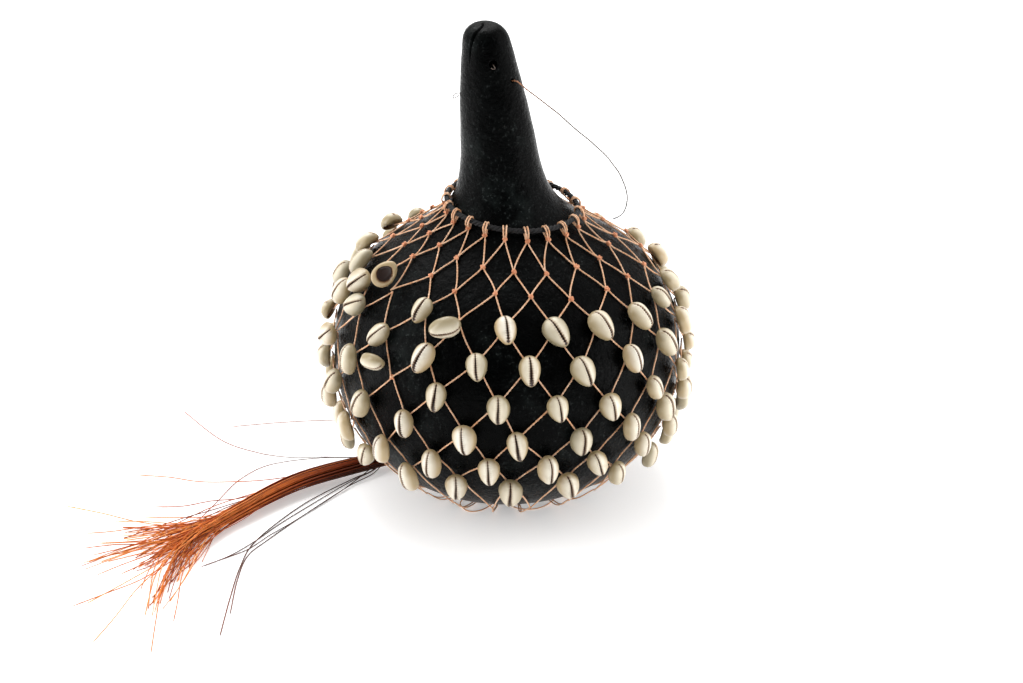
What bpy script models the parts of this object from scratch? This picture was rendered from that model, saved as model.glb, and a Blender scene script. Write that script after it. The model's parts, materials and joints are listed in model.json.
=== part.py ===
"""A shekere: a hollow calabash gourd inside a loose net of knotted cord strung with cowrie shells.

Metres, +Z up, origin at the centre of the flat foot. The front faces -Y.
The net hangs from a cord collar on the neck. Each row of shells is one body below the row above it.
"""

import math

import bmesh
import bpy
from mathutils import Matrix, Vector

MM = 0.001

# Gourd, all in millimetres: height above the foot, then radius.
PROFILE = (
    (0.0, 20.0), (1.6, 35.0), (5.0, 48.0), (12.0, 64.0), (24.0, 80.0), (42.0, 94.8), (64.0, 104.0),
    (88.0, 107.0), (112.0, 104.2), (133.0, 95.2), (142.0, 88.5), (149.0, 81.8), (155.0, 73.8),
    (161.0, 64.5), (166.0, 56.5), (171.0, 49.3), (177.0, 41.8), (182.0, 36.6), (187.0, 32.6),
    (194.0, 28.6), (203.0, 25.8), (216.0, 23.4), (234.0, 21.3), (252.0, 19.2), (268.0, 17.0),
    (281.0, 15.0), (289.0, 13.2), (293.6, 10.0), (296.0, 5.5),
)
GOURD_SIDES = 40
WALL = 5.0
CAVITY_SIDES = 18
CAVITY_TOP = 284.0
CAVITY_FOOT = 26.0
LEAN_FROM = 172.0
LEAN = 12.5
GOURD_HEIGHT = 296.5

# Holes in the neck: angle round from the front, height, diameter.
NECK_HOLES = ((10.0, 276.0, 5.0), (48.0, 265.0, 3.0), (-82.0, 254.0, 3.0))
SPLIT_WIDTH = 1.3
SPLIT_DEPTH = 11.0

# Net: one column every 18 degrees.
COLUMNS = 20
STEP = 360.0 / COLUMNS
CORD = 1.0
KNOT = 3.2
COLLAR_HEIGHT = 182.6
COLLAR_ASKEW = 4.0
COLLAR_NOD = 1.7
COLLAR_CORD = 3.2
COLLAR_GAP = 4.9
COLLAR_SIDES = 36

# Level: height of its crossings, how much lower it is on the right and at the front, angle of its first
# crossing, and how far its crossings are drawn round towards the front.
LEVELS = {
    "collar": (178.6, 4.0, 1.7, -1.5, 4.0),
    "tier_a": (166.3, 4.5, 1.0, 4.5, 1.5),
    "tier_b": (154.6, 5.5, 0.0, -6.5, 2.0),
    "row1": (141.5, 5.5, 0.0, 0.5, 3.0),
    "row2": (123.6, 8.2, 0.0, -10.0, 2.0),
    "row3": (103.5, 8.4, 0.0, -3.0, 0.0),
    "row4": (83.4, 5.0, 0.0, -14.0, 0.0),
    "row5": (65.0, 4.0, 0.0, -6.5, 0.0),
    "row6": (49.5, 2.0, 0.0, -16.0, 0.0),
    "hem": (17.5, 0.0, 0.0, -7.0, 0.0),
}
# Where a hem cord bends against the gourd: how far along it, and the height there.
HEM_BENDS = ((0.33, 39.5), (0.67, 28.5))
# Which crossing of the level above a level's first cord comes from.
SHIFT = {
    "tier_a": 0, "tier_b": -1, "row1": 0, "row2": -1, "row3": 0, "row4": -1, "row5": 0, "row6": -1, "hem": 0,
}
ABOVE = 1.3
BELOW = 3.7
UNDER_KNOT = 3.2
ARC_GAP = 1.6

# Cowrie shell.
SHELL_LENGTH = 20.0
SHELL_WIDTH = 14.8
SHELL_HEIGHT = 9.4
SHELL_DROP = 2.8
SHELL_ROLL = (-8.0, 6.0, -3.0, 10.0, -6.0, 4.0)
SHELL_HANG = {"row1": 0.0, "row2": 0.0, "row3": 0.0, "row4": 4.0, "row5": 11.0, "row6": 18.0}
HANG_LIFT = 4.2
# Arc: its side, its first column and how many shells it has.
ARCS = (("front", -3, 7), ("right", 4, 7), ("left", 11, 6))

# Cords under the gourd, the binding and the tail.
GROUND_RING = 41.0
GROUND_CORD = 2.4
GROUND_STEPS = 16
# Strand: its node, the angles it runs between and the columns whose cords it gathers.
STRANDS = (
    ("underside_cords_front", 56.0, -95.0, range(-4, 4)),
    ("underside_cords_back", 60.0, 248.0, range(4, 14)),
)
BINDING_AT = (-68.0, 10.2, 6.3)
TAIL_SWING_AT = (-76.2, 5.6, 6.3)
TAIL_LIFT_AT = (-116.0, -17.0, 7.2)
TETHER = 0.8


def clear():
    for thing in list(bpy.data.objects):
        bpy.data.objects.remove(thing, do_unlink=True)


def material(name, colour, roughness, metallic=0.0):
    mat = bpy.data.materials.new(name)
    mat.use_nodes = True
    shader = mat.node_tree.nodes["Principled BSDF"]
    shader.inputs["Base Color"].default_value = (*colour, 1.0)
    shader.inputs["Roughness"].default_value = roughness
    shader.inputs["Metallic"].default_value = metallic
    return mat


def place(name, mesh, mat, smooth=True, hidden=False, pivot=None):
    """An object with its origin at the world's, or on its pivot."""
    thing = bpy.data.objects.new(name, mesh)
    bpy.context.scene.collection.objects.link(thing)
    if pivot is not None:
        mesh.transform(Matrix.Translation(-pivot * MM))
        thing.location = pivot * MM
    if mat:
        mesh.materials.append(mat)
    for face in mesh.polygons:
        face.use_smooth = smooth
    if hidden:
        thing.hide_render = True
        thing.display_type = "WIRE"
    return thing


def mesh_of(name, points, faces):
    """A mesh from points in millimetres, its faces turned to face out."""
    mesh = bpy.data.meshes.new(name)
    mesh.from_pydata([tuple(c * MM for c in p) for p in points], [], faces)
    work = bmesh.new()
    work.from_mesh(mesh)
    bmesh.ops.recalc_face_normals(work, faces=work.faces)
    work.to_mesh(mesh)
    work.free()
    mesh.update()
    return mesh


def boolean(thing, cutter, operation):
    mod = thing.modifiers.new(operation.lower() + "_" + cutter.name, "BOOLEAN")
    mod.operation = operation
    mod.solver = "EXACT"
    mod.object = cutter
    mod.material_mode = "TRANSFER"


def radius_at(height):
    for (z0, r0), (z1, r1) in zip(PROFILE, PROFILE[1:]):
        if height <= z1:
            return r0 + (r1 - r0) * max(0.0, height - z0) / (z1 - z0)
    return PROFILE[-1][1]


def slope_at(height):
    """Angle of the wall from the vertical, positive where it leans in towards the neck."""
    return math.atan2(radius_at(height - 6.0) - radius_at(height + 6.0), 12.0)


def lean_at(height):
    """How far the neck's centre has moved to the left at this height."""
    up = max(0.0, (height - LEAN_FROM) / (GOURD_HEIGHT - LEAN_FROM))
    return -LEAN * up


def around(angle):
    """Unit vectors out from the axis and round it, for an angle from the front, to the right."""
    turn = math.radians(angle - 90.0)
    return Vector((math.cos(turn), math.sin(turn), 0.0)), Vector((-math.sin(turn), math.cos(turn), 0.0))


def on_gourd(angle, height, off):
    """A point this far off the wall, and the wall's outward and upward directions there."""
    out, _ = around(angle)
    tilt = slope_at(height)
    normal = out * math.cos(tilt) + Vector((0.0, 0.0, math.sin(tilt)))
    up = Vector((0.0, 0.0, math.cos(tilt))) - out * math.sin(tilt)
    return out * radius_at(height) + Vector((0.0, 0.0, height)) + normal * off, normal, up


def angle_of(level, place_in_row):
    """The angle round from the front at which the cords of a level cross."""
    _, _, _, phase, gather = LEVELS[level]
    angle = phase + STEP * place_in_row
    return angle - gather * math.sin(math.radians(angle))


def crossing(level, place_in_row, off):
    """Where the cords of a level cross."""
    height, askew, nod, _, _ = LEVELS[level]
    angle = angle_of(level, place_in_row)
    lower = askew * math.sin(math.radians(angle)) + nod * math.cos(math.radians(angle))
    return on_gourd(angle, height - lower, off)


def top_of(level, place_in_row):
    """Where a cord that starts at this crossing begins: behind a shell, or just under a knot."""
    if level in SHELL_HANG:
        return crossing(level, place_in_row, ABOVE)[0]
    point, _, up = crossing(level, place_in_row, 2.7)
    return point - up * UNDER_KNOT


def revolve(name, rows, sides):
    """A closed solid of revolution from (height, radius, shift along X)."""
    points = []
    faces = []
    for height, radius, shift in rows:
        for side in range(sides):
            turn = 2.0 * math.pi * side / sides
            points.append((shift + radius * math.cos(turn), radius * math.sin(turn), height))
    for row in range(len(rows) - 1):
        for side in range(sides):
            a = row * sides + side
            b = row * sides + (side + 1) % sides
            faces.append((a, b, b + sides, a + sides))
    faces.append(tuple(range(sides)))
    faces.append(tuple(range((len(rows) - 1) * sides, len(rows) * sides)))
    return mesh_of(name, points, faces)


def tube(name, points, radii, sides=4, closed=False, outward=None):
    """A closed tube along points. Its corners are mitred, so the cord keeps its thickness through them."""
    points = [Vector(p) for p in points]
    count = len(points)
    if not hasattr(radii, "__len__"):
        radii = [radii] * count
    rings = []
    for i, point in enumerate(points):
        before = points[i - 1] if closed or i else None
        after = points[(i + 1) % count] if closed or i < count - 1 else None
        come = (point - before).normalized() if before is not None else (after - point).normalized()
        go = (after - point).normalized() if after is not None else come
        along = (come + go).normalized()
        normal = Vector(outward(point) if outward else (0.0, 0.0, 1.0))
        across = along.cross(normal).normalized()
        normal = across.cross(along).normalized()
        mitre = min(2.2, 1.0 / max(0.3, along.dot(come)))
        ring = []
        for side in range(sides):
            turn = 2.0 * math.pi * (side + 0.5) / sides
            ring.append(
                point
                + across * (radii[i] * mitre * math.cos(turn))
                + normal * (radii[i] * math.sin(turn))
            )
        rings.append(ring)
    flat_points = [p for ring in rings for p in ring]
    faces = []
    for i in range(count if closed else count - 1):
        for side in range(sides):
            a = i * sides + side
            b = i * sides + (side + 1) % sides
            c = (i + 1) % count * sides + (side + 1) % sides
            d = (i + 1) % count * sides + side
            faces.append((a, b, c, d))
    if not closed:
        faces.append(tuple(range(sides)))
        faces.append(tuple(range((count - 1) * sides, count * sides)))
    return mesh_of(name, flat_points, faces)


def from_axis(point):
    """Outward direction for the frames of a tube that runs round the gourd."""
    return Vector((point.x, point.y, 0.0)).normalized() + Vector((0.0, 0.0, 0.35))


def build_gourd(mats):
    outer = [(z, r, lean_at(z)) for z, r in PROFILE]
    outer.append((GOURD_HEIGHT, 2.0, -LEAN))
    gourd = place("gourd", revolve("gourd", outer, GOURD_SIDES), mats["lacquer"])

    inner = [(WALL, CAVITY_FOOT, 0.0)]
    for z, r in PROFILE:
        if 12.0 <= z < CAVITY_TOP:
            inner.append((z + (3.0 if z < 30.0 else 0.0), r - WALL - (2.0 if z < 30.0 else 0.0), lean_at(z)))
    inner.append((CAVITY_TOP, 10.0, lean_at(CAVITY_TOP)))
    cavity = place("cavity", revolve("cavity", inner, CAVITY_SIDES), None, hidden=True)
    boolean(gourd, cavity, "DIFFERENCE")

    for number, (angle, height, diameter) in enumerate(NECK_HOLES):
        out, _ = around(angle)
        centre = Vector((lean_at(height), 0.0, height))
        ends = (centre + out * 5.0, centre + out * 40.0)
        name = "drill_%d" % number
        drill = place(name, tube(name, ends, diameter / 2.0, 12), None, hidden=True)
        boolean(gourd, drill, "DIFFERENCE")

    top = Vector((-LEAN - 2.6, -8.5, GOURD_HEIGHT))
    half = SPLIT_WIDTH / 2.0
    corners = []
    for depth, reach in ((3.0, 13.0), (-SPLIT_DEPTH, 9.0)):
        for x in (-half, half):
            for y in (-reach, reach * 0.4):
                corners.append((top.x + x, top.y + y, top.z + depth))
    box = ((0, 1, 3, 2), (4, 5, 7, 6), (0, 1, 5, 4), (2, 3, 7, 6), (0, 2, 6, 4), (1, 3, 7, 5))
    split = place("split", mesh_of("split", corners, box), None, hidden=True)
    boolean(gourd, split, "DIFFERENCE")


def collar_point(angle):
    turn = math.radians(angle)
    height = COLLAR_HEIGHT - COLLAR_ASKEW * math.sin(turn) - COLLAR_NOD * math.cos(turn)
    return on_gourd(angle, height, COLLAR_GAP)


def build_collar(mats):
    ring = [collar_point(360.0 * i / COLLAR_SIDES)[0] for i in range(COLLAR_SIDES)]
    mesh = tube("collar_ring", ring, COLLAR_CORD / 2.0, 8, True, from_axis)
    place("collar_ring", mesh, mats["black_cord"])
    grip = COLLAR_CORD / 2.0 + 0.4 + CORD / 2.0
    for k in range(COLUMNS):
        centre, normal, up = collar_point(angle_of("collar", k))
        knot, knot_normal, _ = crossing("collar", k, 2.4)
        loop = [
            knot + knot_normal * 0.2,
            centre - up * grip * 0.75 + normal * grip * 0.75,
            centre + normal * grip + up * 0.3,
            centre + (normal + up) * grip * 0.72,
            centre + up * grip,
            centre + (up - normal) * grip * 0.72,
            centre - normal * grip,
            centre - (up + normal) * grip * 0.72,
        ]
        radii = [KNOT / 2.0] + [CORD / 2.0] * (len(loop) - 1)
        side = (centre - knot).cross(normal).normalized()
        name = "collar_loop_%02d" % (k + 1)
        place(name, tube(name, loop, radii, 4, True, lambda p, s=side: s), mats["net_cord"])


def build_tier(name, above, mats):
    """A zigzag of cord round the gourd: up to the level above, down to this level's knots."""
    points = []
    radii = []
    for k in range(COLUMNS):
        points.append(top_of(above, k + SHIFT[name]))
        radii.append(CORD / 2.0)
        knot, normal, _ = crossing(name, k, 2.2)
        _, round_it = around(angle_of(name, k))
        points.append(knot - round_it * 1.3)
        points.append(knot + round_it * 1.3)
        radii += [KNOT / 2.0 * 0.8] * 2
    mesh = tube(name, points, radii, 4, True, from_axis)
    place("net_" + name, mesh, mats["net_cord"])


def cowrie(points, faces, centre, across, along, out):
    """Adds one shell: flat back, domed sides and a slit along its face."""
    base = len(points)
    outline = (
        (0.0, 1.0), (0.62, 0.78), (1.0, 0.12), (0.74, -0.66),
        (0.0, -1.0), (-0.74, -0.66), (-1.0, 0.12), (-0.62, 0.78),
    )
    for width, length, height in ((0.94, 0.96, 0.0), (0.82, 0.86, 0.72)):
        for x, y in outline:
            points.append(
                centre
                + across * (x * width * SHELL_WIDTH / 2.0)
                + along * (y * length * SHELL_LENGTH / 2.0)
                + out * (height * SHELL_HEIGHT)
            )
    for x, y in outline:
        points.append(
            centre
            + across * (x * 0.16 * SHELL_WIDTH / 2.0)
            + along * (y * 0.70 * SHELL_LENGTH / 2.0)
            + out * SHELL_HEIGHT
        )
    points.append(centre + along * (SHELL_LENGTH * 0.24) + out * (SHELL_HEIGHT * 0.76))
    points.append(centre - along * (SHELL_LENGTH * 0.24) + out * (SHELL_HEIGHT * 0.76))
    high = base + 24
    low = base + 25
    faces.append(tuple(range(base, base + 8)))
    for ring in range(2):
        for i in range(8):
            a = base + ring * 8 + i
            b = base + ring * 8 + (i + 1) % 8
            faces.append((a, b, b + 8, a + 8))
    lip = base + 16
    for i in (6, 7, 0, 1):
        faces.append((lip + i, lip + (i + 1) % 8, high))
    for i in (2, 3, 4, 5):
        faces.append((lip + i, lip + i + 1, low))
    faces.append((lip + 2, low, high))
    faces.append((lip + 6, high, low))


def build_row(name, above, mats):
    """Three arcs of six shells, each strung on its own zigzag of cord from the level above."""
    hang = math.radians(SHELL_HANG[name])
    for side_name, first, per_arc in ARCS:
        ups = [top_of(above, first + i + SHIFT[name]) for i in range(per_arc + 1)]
        lows = [crossing(name, first + i, BELOW + HANG_LIFT * math.sin(hang)) for i in range(per_arc)]
        ups[0] += (lows[0][0] - ups[0]).normalized() * ARC_GAP
        ups[-1] += (lows[-1][0] - ups[-1]).normalized() * ARC_GAP
        line = [ups[0]]
        for i in range(per_arc):
            line += [lows[i][0], ups[i + 1]]
        node = "cowries_%s_%s" % (name, side_name)
        strung = place(node, tube(node, line, CORD / 2.0, 4, False, from_axis), mats["net_cord"])
        points = []
        faces = []
        for i in range(per_arc):
            cross_at, normal, up = lows[i]
            tilted_up = up * math.cos(hang) - normal * math.sin(hang)
            tilted_out = normal * math.cos(hang) + up * math.sin(hang)
            roll = math.radians(SHELL_ROLL[i % len(SHELL_ROLL)])
            across = tilted_up.cross(tilted_out).normalized()
            along = tilted_up * math.cos(roll) + across * math.sin(roll)
            across = along.cross(tilted_out).normalized()
            centre = cross_at - tilted_up * SHELL_DROP - tilted_out * 0.95
            cowrie(points, faces, centre, across, along, tilted_out)
        shells = place("shells_" + node, mesh_of("shells_" + node, points, faces), mats["shell"], False, True)
        boolean(strung, shells, "UNION")
        strung.data.materials.append(mats["shell"])


def build_underside(mats):
    """The hem below the last row, then the cord ends drawn round the foot to the binding."""
    points = []
    bends = [(0.5 * (1.0 - part), z) for part, z in HEM_BENDS]
    for k in range(COLUMNS):
        points.append(crossing("row6", k, ABOVE)[0])
        points += [on_gourd(angle_of("hem", k - aside), z, 2.0)[0] for aside, z in bends]
        points.append(crossing("hem", k, 2.6)[0])
        points += [on_gourd(angle_of("hem", k + aside), z, 2.0)[0] for aside, z in bends[::-1]]
    place("net_hem", tube("net_hem", points, CORD / 2.0, 4, True, from_axis), mats["net_cord"])

    for node, start, end, columns in STRANDS:
        line = []
        radii = []
        for i in range(GROUND_STEPS + 1):
            part = i / GROUND_STEPS
            angle = start + (end - start) * part
            out, _ = around(angle)
            reach = GROUND_RING + 16.0 * part ** 9
            thick = GROUND_CORD / 2.0 * (0.75 + 0.25 * part)
            line.append(out * reach + Vector((0.0, 0.0, thick + 0.15)))
            radii.append(thick)
        strand = place(node, tube(node, line, radii, 6, False), mats["net_cord"])
        points = []
        faces = []
        for k in columns:
            out, _ = around(angle_of("hem", k))
            top = crossing("hem", k, 2.6)[0] - Vector((0.0, 0.0, 1.6))
            bend = out * 62.0 + Vector((0.0, 0.0, 4.5))
            foot = out * (GROUND_RING + 0.1) + Vector((0.0, 0.0, 1.2))
            drop = tube("drop", (top, bend, foot), CORD / 2.0, 4)
            base = len(points)
            points += [tuple(c / MM for c in v.co) for v in drop.vertices]
            faces += [tuple(base + v for v in p.vertices) for p in drop.polygons]
            bpy.data.meshes.remove(drop)
        drops = place("drops_" + node, mesh_of("drops_" + node, points, faces), None, hidden=True)
        boolean(strand, drops, "UNION")


def build_tail(mats):
    swing = Vector(TAIL_SWING_AT)
    lift = Vector(TAIL_LIFT_AT)
    way = (lift - swing).normalized()
    at = Vector(BINDING_AT)
    shape = ((-6.5, 2.8), (-5.0, 4.6), (-2.5, 5.4), (0.0, 5.6), (2.5, 5.4), (4.4, 4.6))
    wrap = [at + way * along for along, _ in shape]
    place("net_binding", tube("net_binding", wrap, [r for _, r in shape], 10), mats["net_cord"])

    length = (lift - swing).length
    shape = (
        (-4.6, 1.0), (-3.9, 2.8), (-2.3, 4.2), (0.0, 4.8), (16.0, 5.6), (32.0, 5.9), (length - 7.2, 6.0),
    )
    root = [swing + way * along for along, _ in shape]
    mesh = tube("tail_root", root, [r for _, r in shape], 8)
    place("tail_root", mesh, mats["fibre"], pivot=swing)

    shape = ((-6.4, 1.4), (-5.4, 3.8), (-3.2, 5.8), (0.0, 6.6))
    bundle = [lift + way * along for along, _ in shape]
    radii = [r for _, r in shape]
    for x, y, z, r in (
        (-132.0, -27.5, 7.2, 6.8), (-147.0, -41.5, 6.9, 6.6), (-163.0, -60.0, 6.4, 6.1),
        (-180.0, -80.0, 5.6, 5.2),
    ):
        bundle.append(Vector((x, y, z)))
        radii.append(r)
    place("tail_bundle", tube("tail_bundle", bundle, radii, 8), mats["fibre"], pivot=lift)

    end = bundle[-1]
    on = (bundle[-1] - bundle[-2]).normalized()
    side = on.cross(Vector((0.0, 0.0, 1.0))).normalized()
    wisps = (
        (4.8, ((-204.0, -86.0, 4.0), (-236.0, -72.0, 5.0), (-268.0, -52.0, 3.0))),
        (2.4, ((-206.0, -98.0, 3.0), (-232.0, -104.0, 3.0), (-255.0, -104.0, 2.0))),
        (0.0, ((-204.0, -108.0, 3.0), (-226.0, -134.0, 3.0), (-249.0, -160.0, 2.0))),
        (-2.4, ((-198.0, -112.0, 3.0), (-212.0, -150.0, 3.0), (-229.0, -192.0, 2.0))),
        (-4.8, ((-190.0, -114.0, 3.0), (-194.0, -160.0, 3.0), (-196.0, -206.0, 2.0))),
    )
    for number, (offset, path) in enumerate(wisps):
        start = end + on * 4.0 + side * offset + Vector((0.0, 0.0, -2.4))
        name = "tail_wisp_%d" % (number + 1)
        mesh = tube(name, (start, *path), (0.8, 2.0, 1.6, 0.5), 5)
        place(name, mesh, mats["fibre"], pivot=lift)
    stray = (
        (-121.0, -37.0, 2.0), (-130.0, -64.0, 2.2), (-140.0, -100.0, 2.0), (-149.0, -143.0, 1.8),
        (-157.0, -186.0, 1.4),
    )
    mesh = tube("tail_wisp_6", stray, (0.8, 1.6, 1.6, 1.3, 0.5), 5)
    place("tail_wisp_6", mesh, mats["fibre"], pivot=lift)


def build_tether(mats):
    """A thin thread out of the neck's right hole, arching clear of the gourd, its end just over the net."""
    out, _ = around(NECK_HOLES[1][0])
    height = NECK_HOLES[1][1]
    start = Vector((lean_at(height), 0.0, height)) + out * 17.0
    route = (
        start, start + out * 4.0 + Vector((0.0, 0.0, 0.4)), (11.5, -16.4, 261.5), (18.5, -17.0, 256.2),
        (24.5, -16.8, 251.2),
        (30.0, -16.0, 246.5), (36.0, -14.5, 240.3), (42.0, -12.0, 234.0), (48.2, -8.5, 227.6),
        (54.0, -4.5, 220.8), (59.2, -0.5, 214.3), (63.4, 3.5, 207.4), (67.1, 7.5, 201.0),
        (69.9, 11.0, 194.1), (72.0, 14.0, 187.8), (73.2, 16.5, 181.0), (72.8, 18.5, 174.5),
        (71.0, 20.0, 169.2), (68.0, 21.0, 166.2), (65.3, 21.8, 164.8),
    )
    curve = bpy.data.curves.new("tether_thread", "CURVE")
    curve.dimensions = "3D"
    curve.bevel_depth = TETHER * MM / 2.0
    curve.bevel_resolution = 1
    curve.use_fill_caps = True
    line = curve.splines.new("POLY")
    line.points.add(len(route) - 1)
    for point, place_at in zip(line.points, route):
        point.co = (*(Vector(place_at) * MM), 1.0)
    curve.materials.append(mats["tether"])
    thread = bpy.data.objects.new("tether_thread", curve)
    bpy.context.scene.collection.objects.link(thread)


def main():
    clear()
    mats = {
        "lacquer": material("black_lacquer", (0.012, 0.015, 0.016), 0.32),
        "shell": material("cowrie_shell", (0.78, 0.72, 0.58), 0.35),
        "net_cord": material("copper_cord", (0.72, 0.36, 0.20), 0.5),
        "black_cord": material("black_cord", (0.03, 0.028, 0.03), 0.7),
        "fibre": material("rust_fibre", (0.50, 0.13, 0.04), 0.55),
        "tether": material("copper_thread", (0.42, 0.26, 0.18), 0.5),
    }
    build_gourd(mats)
    build_collar(mats)
    build_tier("tier_a", "collar", mats)
    build_tier("tier_b", "tier_a", mats)
    above = "tier_b"
    for name in ("row1", "row2", "row3", "row4", "row5", "row6"):
        build_row(name, above, mats)
        above = name
    build_underside(mats)
    build_tail(mats)
    build_tether(mats)


main()
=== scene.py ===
"""The finished look of a shekere: a black calabash in a knotted net of cowrie shells, with a fibre tail.

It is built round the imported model. Lengths are in millimetres until a piece is made, and angles in degrees,
measured round the gourd from the front towards the right.
"""

import json
import math
import random

import bpy
import numpy as np
from mathutils import Matrix, Vector, noise

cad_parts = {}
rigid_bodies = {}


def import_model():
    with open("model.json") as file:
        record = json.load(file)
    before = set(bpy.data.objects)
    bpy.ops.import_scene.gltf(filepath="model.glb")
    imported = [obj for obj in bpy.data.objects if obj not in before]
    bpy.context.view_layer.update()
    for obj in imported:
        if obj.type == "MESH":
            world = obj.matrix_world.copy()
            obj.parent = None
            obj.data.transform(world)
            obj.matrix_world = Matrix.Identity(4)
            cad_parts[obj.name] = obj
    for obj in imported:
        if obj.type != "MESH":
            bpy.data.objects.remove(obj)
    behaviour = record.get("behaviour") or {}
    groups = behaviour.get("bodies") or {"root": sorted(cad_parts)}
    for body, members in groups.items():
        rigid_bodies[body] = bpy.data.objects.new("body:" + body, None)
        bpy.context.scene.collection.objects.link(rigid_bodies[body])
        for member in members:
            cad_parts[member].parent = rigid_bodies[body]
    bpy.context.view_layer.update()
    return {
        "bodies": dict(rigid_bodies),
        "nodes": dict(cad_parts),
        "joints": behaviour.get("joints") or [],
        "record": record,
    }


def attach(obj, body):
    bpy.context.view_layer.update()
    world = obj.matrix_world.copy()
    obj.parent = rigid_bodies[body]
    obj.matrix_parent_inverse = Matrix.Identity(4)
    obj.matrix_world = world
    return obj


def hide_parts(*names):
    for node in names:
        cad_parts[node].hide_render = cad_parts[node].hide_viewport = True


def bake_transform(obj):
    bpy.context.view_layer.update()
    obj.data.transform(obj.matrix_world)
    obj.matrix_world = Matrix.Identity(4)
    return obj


MM = 0.001
SEED = 11

# The gourd: height above the foot, then radius, as in the CAD model.
PROFILE = (
    (0.0, 20.0), (1.6, 35.0), (5.0, 48.0), (12.0, 64.0), (24.0, 80.0), (42.0, 94.8), (64.0, 104.0),
    (88.0, 107.0), (112.0, 104.2), (133.0, 95.2), (142.0, 88.5), (149.0, 81.8), (155.0, 73.8),
    (161.0, 64.5), (166.0, 56.5), (171.0, 49.3), (177.0, 41.8), (182.0, 36.6), (187.0, 32.6),
    (194.0, 28.6), (203.0, 25.8), (216.0, 23.4), (234.0, 21.3), (252.0, 19.2), (268.0, 17.0),
    (281.0, 15.0), (289.0, 13.2), (293.6, 10.0), (296.0, 5.5),
)
GOURD_HEIGHT = 296.5
LEAN_FROM = 172.0
LEAN = 12.5
WALL = 5.0
CAVITY_TOP = 284.0
NECK_HOLES = ((10.0, 276.0, 5.2), (48.0, 265.0, 3.0), (-82.0, 254.0, 3.0))

# The net.
COLUMNS = 20
STEP = 360.0 / COLUMNS
# Level: height of its crossings, how much lower it is on the right and at the front, angle of its first
# crossing, and how far its crossings are drawn round towards the front.
LEVELS = {
    "collar": (178.6, 4.0, 1.7, -1.5, 4.0),
    "tier_a": (166.3, 4.5, 1.0, 4.5, 1.5),
    "tier_b": (154.6, 5.5, 0.0, -6.5, 2.0),
    "row1": (141.5, 5.5, 0.0, 0.5, 3.0),
    "row2": (123.6, 8.2, 0.0, -10.0, 2.0),
    "row3": (103.5, 8.4, 0.0, -3.0, 0.0),
    "row4": (83.4, 5.0, 0.0, -14.0, 0.0),
    "row5": (65.0, 4.0, 0.0, -6.5, 0.0),
    "row6": (49.5, 2.0, 0.0, -16.0, 0.0),
    "hem": (17.5, 0.0, 0.0, -7.0, 0.0),
}
SHIFT = {
    "tier_a": 0, "tier_b": -1, "row1": 0, "row2": -1, "row3": 0, "row4": -1, "row5": 0, "row6": -1, "hem": 0,
}
BODY_OF = {
    "collar": "collar", "tier_a": "net_a", "tier_b": "net_b", "row1": "row_1", "row2": "row_2",
    "row3": "row_3", "row4": "row_4", "row5": "row_5", "row6": "row_6", "hem": "underside",
}
ROWS = ("row1", "row2", "row3", "row4", "row5", "row6")
ARCS = (("front", -3, 7), ("right", 4, 7), ("left", 11, 6))
COLLAR_HEIGHT = 182.6
COLLAR_ASKEW = 4.0
COLLAR_NOD = 1.7
COLLAR_GAP = 3.8
CORD = 1.0

# The shells.
SHELL_LENGTH = 20.0
SHELL_WIDTH = 14.6
SHELL_RISE = 6.6
SHELL_BACK = 2.6
SHELL_DROP = 2.8
SHELL_HANG = {"row1": 0.0, "row2": 0.0, "row3": 2.0, "row4": 5.0, "row5": 12.0, "row6": 20.0}
# How far the shells at the sides lean over towards the front, in degrees.
SHELL_ASIDE = {"row1": 14.0, "row2": 14.0, "row3": 12.0, "row4": 9.0, "row5": 7.0, "row6": 4.0}

# The gathering under the gourd and the tail.
BINDING_AT = (-68.0, 10.2, 6.3)
TAIL_SWING_AT = (-76.2, 5.6, 6.3)
TAIL_LIFT_AT = (-116.0, -17.0, 7.2)

# The view.
CAMERA_ELEVATION = 26.0
CAMERA_DISTANCE = 1.30
LOOK_AT = (0.0028, 0.0, 0.0915)
LENS = 73.8


# ---------------------------------------------------------------- building blocks


class Build:
    """Collects the points and faces of one piece, in millimetres, with a number or two on each point."""

    def __init__(self, *values):
        self.points = []
        self.faces = []
        self.values = {name: [] for name in values}
        self.count = 0

    def add(self, points, faces, **values):
        self.points.append(np.asarray(points, float))
        self.faces += [tuple(self.count + i for i in face) for face in faces]
        for name, kept in self.values.items():
            kept.append(np.broadcast_to(values.get(name, 0.0), len(points)))
        self.count += len(points)

    def piece(self, name, mat, body=None, slot=None):
        mesh = bpy.data.meshes.new(name)
        mesh.from_pydata((np.concatenate(self.points) * MM).tolist(), [], self.faces)
        for value, kept in self.values.items():
            attribute = mesh.attributes.new(value, "FLOAT", "POINT")
            attribute.data.foreach_set("value", np.concatenate(kept).astype(np.float32))
        mesh.shade_smooth()
        mesh.materials.append(mat)
        thing = bpy.data.objects.new(name, mesh)
        bpy.context.scene.collection.objects.link(thing)
        if body:
            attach(thing, body)
        return thing


def smoothstep(value, low, high):
    part = np.clip((value - low) / (high - low), 0.0, 1.0)
    return part * part * (3.0 - 2.0 * part)


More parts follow.
